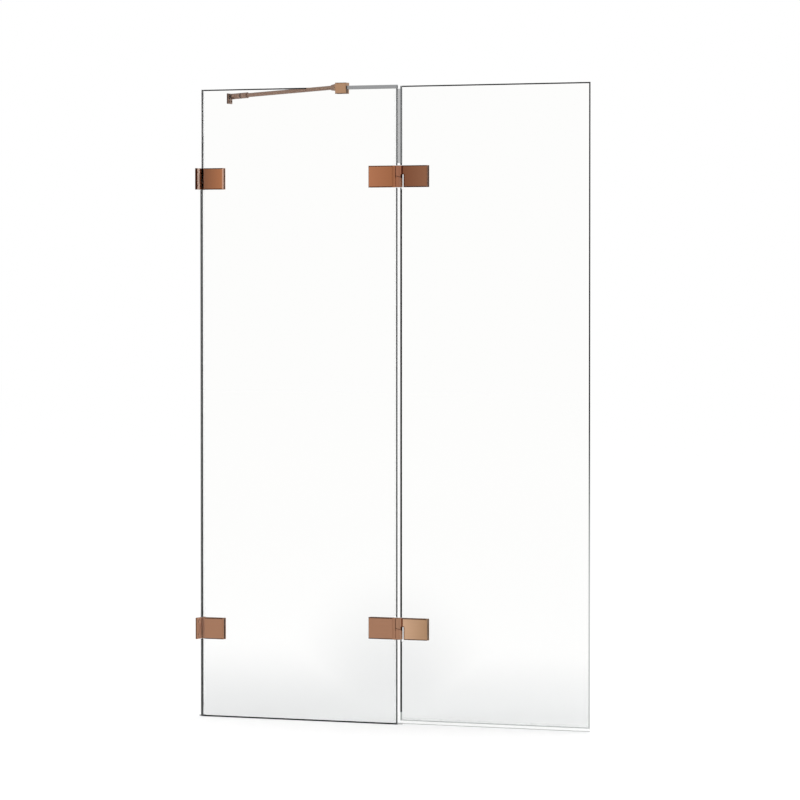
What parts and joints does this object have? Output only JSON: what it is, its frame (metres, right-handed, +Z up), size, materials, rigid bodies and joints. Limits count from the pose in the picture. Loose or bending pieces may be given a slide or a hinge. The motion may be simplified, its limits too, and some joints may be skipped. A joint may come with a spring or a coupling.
{
  "type": "bath screen",
  "caption": "Frameless bath screen: a fixed glass panel on wall clamps with a brace bar, and a glass door on rising hinges that swings outward.",
  "frame": {"origin": "where the wall plane, the bath rim and the middle plane of the glass meet", "axes": "+X away from the wall along the screen, +Y to the bath side, +Z up"},
  "size_m": [0.999, 0.198, 1.51],
  "materials": {
    "clear_glass": "polished",
    "copper_finish": "satin copper",
    "clear_seal": "clear",
    "grey_edge_cap": "satin",
    "gasket_rubber": "matt",
    "nylon": "moulded",
    "stainless_steel": "turned"
  },
  "bodies": {
    "fixed_screen": {"brace_bar": "copper_finish", "brace_clamp_body": "copper_finish", "brace_clamp_collar": "copper_finish", "brace_clamp_liner": "gasket_rubber", "brace_clamp_screw": "stainless_steel", "brace_pivot_pin": "stainless_steel", "brace_seal_ring": "gasket_rubber", "brace_sleeve": "copper_finish", "brace_swivel_end": "copper_finish", "brace_wall_bracket": "copper_finish", "fixed_glass_panel": "clear_glass", "joint_seal": "clear_seal", "lower_hinge_fixed_back_plate": "copper_finish", "lower_hinge_fixed_cap": "copper_finish", "lower_hinge_fixed_gaskets": "gasket_rubber", "lower_hinge_fixed_leaf": "copper_finish", "lower_hinge_fixed_screws": "stainless_steel", "lower_hinge_fixed_sleeves": "nylon", "lower_wall_bracket_body": "copper_finish", "lower_wall_bracket_gaskets": "gasket_rubber", "lower_wall_bracket_jaw": "copper_finish", "lower_wall_bracket_screws": "stainless_steel", "lower_wall_bracket_sleeves": "nylon", "top_edge_cap": "grey_edge_cap", "upper_hinge_fixed_back_plate": "copper_finish", "upper_hinge_fixed_cap": "copper_finish", "upper_hinge_fixed_gaskets": "gasket_rubber", "upper_hinge_fixed_leaf": "copper_finish", "upper_hinge_fixed_screws": "stainless_steel", "upper_hinge_fixed_sleeves": "nylon", "upper_wall_bracket_body": "copper_finish", "upper_wall_bracket_gaskets": "gasket_rubber", "upper_wall_bracket_jaw": "copper_finish", "upper_wall_bracket_screws": "stainless_steel", "upper_wall_bracket_sleeves": "nylon", "wall_seal": "clear_seal"},
    "hinge_pins": {"lower_hinge_pin": "stainless_steel", "upper_hinge_pin": "stainless_steel"},
    "door": {"door_bottom_seal": "clear_seal", "door_glass_panel": "clear_glass", "lower_hinge_bush": "nylon", "lower_hinge_door_back_plate": "copper_finish", "lower_hinge_door_cap": "copper_finish", "lower_hinge_door_gaskets": "gasket_rubber", "lower_hinge_door_leaf": "copper_finish", "lower_hinge_door_screws": "stainless_steel", "lower_hinge_door_sleeves": "nylon", "upper_hinge_bush": "nylon", "upper_hinge_door_back_plate": "copper_finish", "upper_hinge_door_cap": "copper_finish", "upper_hinge_door_gaskets": "gasket_rubber", "upper_hinge_door_leaf": "copper_finish", "upper_hinge_door_screws": "stainless_steel", "upper_hinge_door_sleeves": "nylon"}
  },
  "joints": [
    {"name": "door_lift", "type": "slide", "parent": "fixed_screen", "child": "hinge_pins", "axis": [0, 0, 1], "range_m": [0, 0.004]},
    {"name": "door_swing", "type": "hinge", "parent": "hinge_pins", "child": "door", "pos_m": [0.5195, 0, 0.757], "axis": [0, 0, -1], "range_deg": [0, 90]}
  ],
  "couplings": [
    {"joint": "door_lift", "follows": "door_swing", "m_per_rad": 0.0025465}
  ]
}
